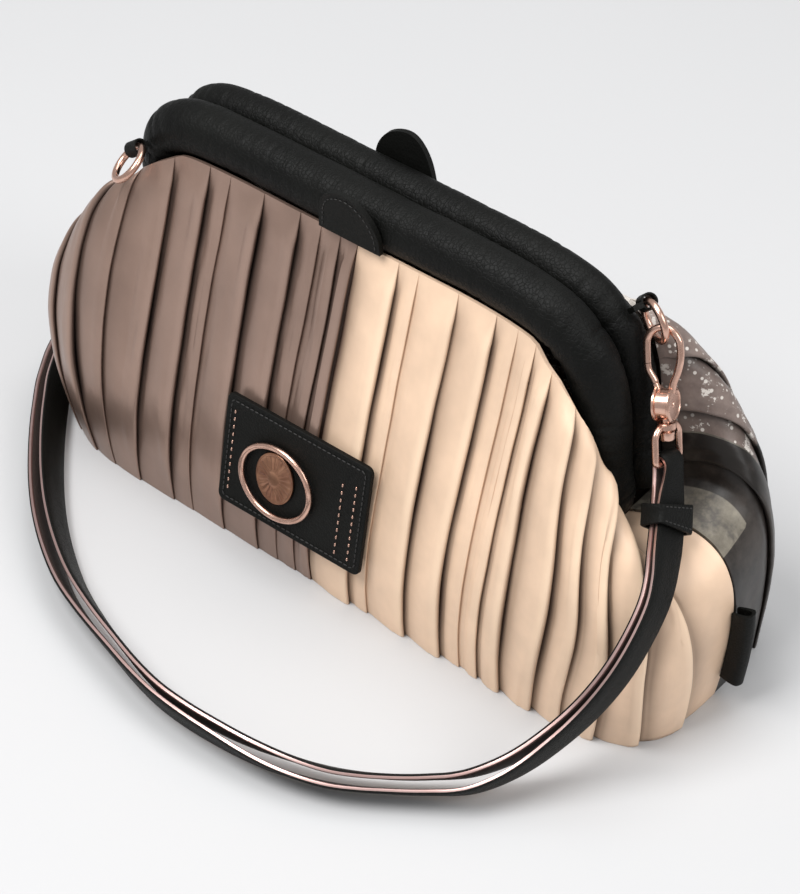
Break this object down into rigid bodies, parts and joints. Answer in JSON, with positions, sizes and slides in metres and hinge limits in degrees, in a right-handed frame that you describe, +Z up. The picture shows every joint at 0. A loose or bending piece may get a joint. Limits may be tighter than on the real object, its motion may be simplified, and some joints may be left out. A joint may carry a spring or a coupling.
{
  "type": "pleated frame handbag",
  "caption": "Soft pleated leather handbag with a padded frame mouth, finger tabs and a doubled shoulder strap on a sprung snap hook.",
  "frame": {"origin": "on the floor under the middle of the mouth", "axes": "+X towards the bag's right end, where the strap is hooked on; -Y towards the front with the patch; +Z up"},
  "size_m": [0.3563, 0.2417, 0.1781],
  "materials": {
    "taupe": "metallic taupe leather, soft sheen, knife-pleated",
    "nude": "smooth nude leather, satin, knife-pleated",
    "printed": "leather printed with taupe-brown marbling and cream splatter",
    "black_leather": "black grained leather, fine cross wrinkles, satin",
    "rose_gold": "polished rose-gold plating",
    "bronze": "dull bronze, stamped"
  },
  "bodies": {
    "bag": {"frame_roll_front": "black_leather", "frame_roll_back": "black_leather", "front_panel_taupe": "taupe", "front_panel_nude": "nude", "back_panel": "printed", "base_panel": "black_leather", "patch": "black_leather", "patch_ring": "rose_gold", "patch_medallion": "bronze", "finger_tab_front": "black_leather", "finger_tab_back": "black_leather", "ring_tab_left": "black_leather", "ring_right": "rose_gold", "ring_tab_right": "black_leather", "swivel_loop": "rose_gold", "strap": "black_leather", "strap_keeper_right": "black_leather", "strap_keeper_far": "black_leather", "hook_far": "rose_gold", "side_label": "black_leather"},
    "hook": {"hook_body": "rose_gold"},
    "gate": {"hook_gate": "rose_gold"},
    "left_ring": {"ring_left": "rose_gold"}
  },
  "joints": [
    {"name": "hook_swivel", "type": "hinge", "parent": "bag", "child": "hook", "pos_m": [0.13611, 0.0008, 0.12081], "axis": [0.3, -0.27, -0.9149], "range_deg": [-9, 9]},
    {"name": "gate_hinge", "type": "hinge", "parent": "hook", "child": "gate", "pos_m": [0.12506, 0.00373, 0.13528], "axis": [-0.1952, 0.9215, -0.3359], "range_deg": [0, 15], "stiffness_Nm_per_rad": 0.002},
    {"name": "left_ring_swing", "type": "hinge", "parent": "bag", "child": "left_ring", "pos_m": [-0.10426, -0.02563, 0.14923], "axis": [-0.7828, 0, -0.6222], "range_deg": [0, 60]}
  ]
}
